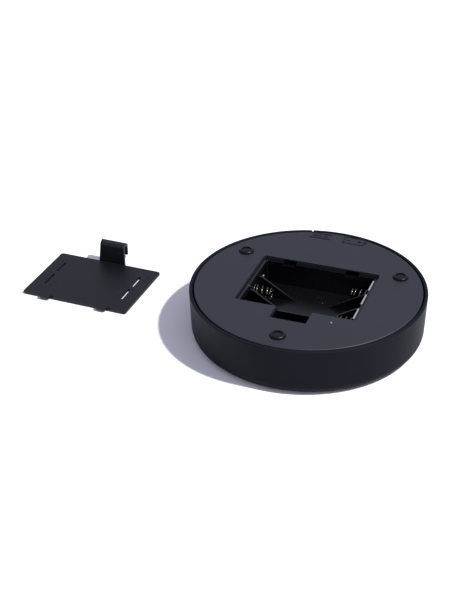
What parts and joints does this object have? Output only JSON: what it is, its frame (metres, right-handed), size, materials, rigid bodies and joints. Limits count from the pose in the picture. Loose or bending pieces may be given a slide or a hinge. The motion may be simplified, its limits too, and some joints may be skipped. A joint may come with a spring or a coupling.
{
  "type": "digital scale",
  "caption": "Compact round digital scale turned over on its platform, with the battery bay open and its hooked battery door lying beside it.",
  "frame": {"origin": "centre of the outer face of the weighing platform, which is the face that the turned-over scale lies on", "axes": "+Z out of the underside with its feet and battery bay, +X along the battery bay and away from the loose door, +Y towards the display end"},
  "size_m": [0.1791, 0.1, 0.0223],
  "materials": {
    "skirt_plastic": "satin moulded ABS, near black",
    "cover_plastic": "fine textured moulded ABS, slate grey",
    "tub_plastic": "plain moulded ABS, dark slate",
    "door_plastic": "plain moulded ABS, dark slate",
    "lens_acrylic": "polished smoke acrylic",
    "load_button_nylon": "moulded natural nylon",
    "contact_strip": "nickel plated spring strip",
    "spring_wire": "bright nickel plated wire",
    "foot_rubber": "dark grey silicone rubber",
    "carrier_plastic": "moulded white ABS",
    "sensor_steel": "stamped spring steel",
    "gauge_film": "polyimide film gauge under clear coat",
    "board_laminate": "green solder mask on glass epoxy",
    "bezel_plastic": "moulded black ABS",
    "display_glass": "liquid crystal glass with grey green film",
    "connector_rubber": "striped elastomer strip",
    "chip_resin": "black potting resin",
    "screw_steel": "zinc plated steel",
    "switch_plastic": "black moulded body",
    "button_plastic": "glossy light grey ABS",
    "lead_red": "red vinyl",
    "lead_black": "black vinyl",
    "lead_white": "white vinyl",
    "lead_blue": "blue vinyl"
  },
  "bodies": {
    "platform": {"platform_cap": "skirt_plastic", "display_lens": "lens_acrylic", "load_button_front": "load_button_nylon", "load_button_right": "load_button_nylon", "load_button_left": "load_button_nylon"},
    "base": {"base_cover": "cover_plastic", "battery_lead_negative": "lead_black", "battery_lead_positive": "lead_red", "battery_tub": "tub_plastic", "board_screws": "screw_steel", "contact_link_left": "contact_strip", "contact_link_right": "contact_strip", "contact_plate_negative": "contact_strip", "contact_plate_positive": "contact_strip", "display_bezel": "bezel_plastic", "display_connector": "connector_rubber", "display_glass": "display_glass", "load_sensor_front": "sensor_steel", "load_sensor_left": "sensor_steel", "load_sensor_right": "sensor_steel", "main_board": "board_laminate", "measuring_chip": "chip_resin", "rubber_foot_front": "foot_rubber", "rubber_foot_left": "foot_rubber", "rubber_foot_right": "foot_rubber", "sensor_carrier_front": "carrier_plastic", "sensor_carrier_left": "carrier_plastic", "sensor_carrier_right": "carrier_plastic", "sensor_lead_front": "lead_white", "sensor_lead_left": "lead_white", "sensor_lead_right": "lead_white", "spring_left_middle": "spring_wire", "spring_right_back": "spring_wire", "spring_right_front": "spring_wire", "strain_gauge_front": "gauge_film", "strain_gauge_left": "gauge_film", "strain_gauge_right": "gauge_film", "switch_board": "board_laminate", "switch_lead": "lead_blue", "switch_screws": "screw_steel", "unit_switch": "switch_plastic"},
    "button": {"unit_button": "button_plastic", "switch_plunger": "button_plastic"},
    "door": {"battery_door": "door_plastic"},
    "latch": {"door_latch": "door_plastic"}
  },
  "joints": [
    {"name": "load_travel", "type": "slide", "parent": "platform", "child": "base", "axis": [0, 0, -1], "range_m": [0, 0.0004], "stiffness_N_per_m": 20000},
    {"name": "unit_button_press", "type": "slide", "parent": "base", "child": "button", "axis": [0, 0, -1], "range_m": [0, 0.0004], "stiffness_N_per_m": 800},
    {"name": "door_lift", "type": "slide", "parent": "platform", "child": "door", "axis": [0, 0, 1], "range_m": [0, 0.06]},
    {"name": "latch_flex", "type": "hinge", "parent": "door", "child": "latch", "pos_m": [-0.10273, 0.02289, 0.00065], "axis": [0.9997, -0.0244, 0], "range_deg": [0, 6], "stiffness_Nm_per_rad": 0.05}
  ]
}
